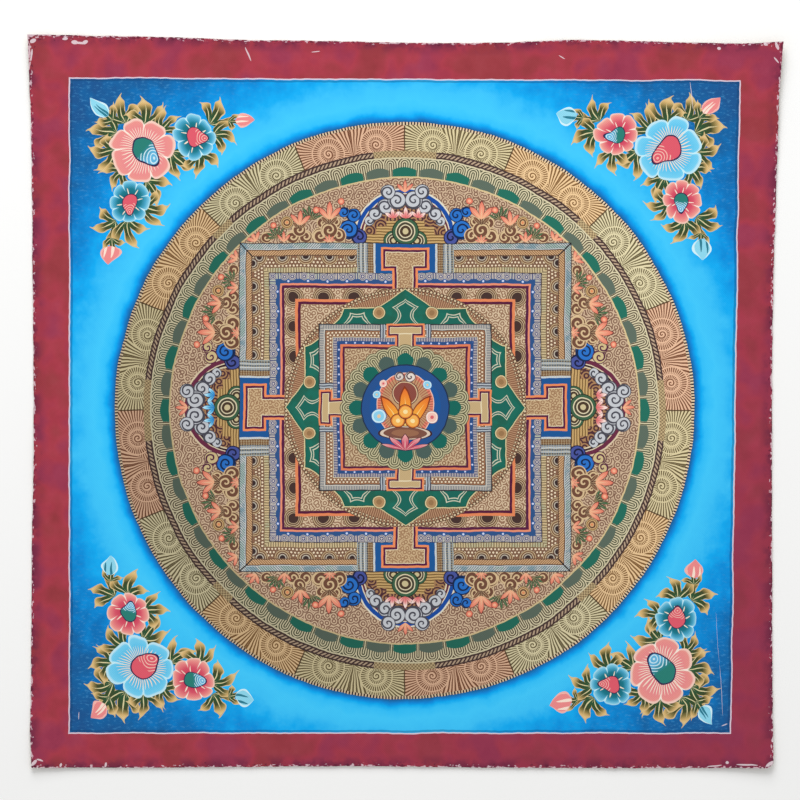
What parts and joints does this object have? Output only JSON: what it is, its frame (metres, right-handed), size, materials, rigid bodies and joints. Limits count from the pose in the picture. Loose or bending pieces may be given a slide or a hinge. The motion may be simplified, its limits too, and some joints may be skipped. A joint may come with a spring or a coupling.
{
  "type": "unmounted painted thangka canvas",
  "caption": "Square sheet of painted cotton canvas with a round mandala on a blue field, flower sprays in its corners and a red border, lying flat with slightly curled corners.",
  "frame": {"origin": "under the middle of the sheet's bounding box, on the surface that the sheet lies on", "axes": "+X to the right of the painting, +Y to its top edge, +Z out of the painted face"},
  "size_m": [0.5034, 0.4888, 0.0058],
  "materials": {
    "painted_canvas": "matt mineral and earth pigments in glue on a chalk ground over plain-woven cotton, with gold paint lines; bare sized cotton on the back"
  },
  "bodies": {
    "root": {"painted_canvas": "painted_canvas"}
  },
  "joints": []
}
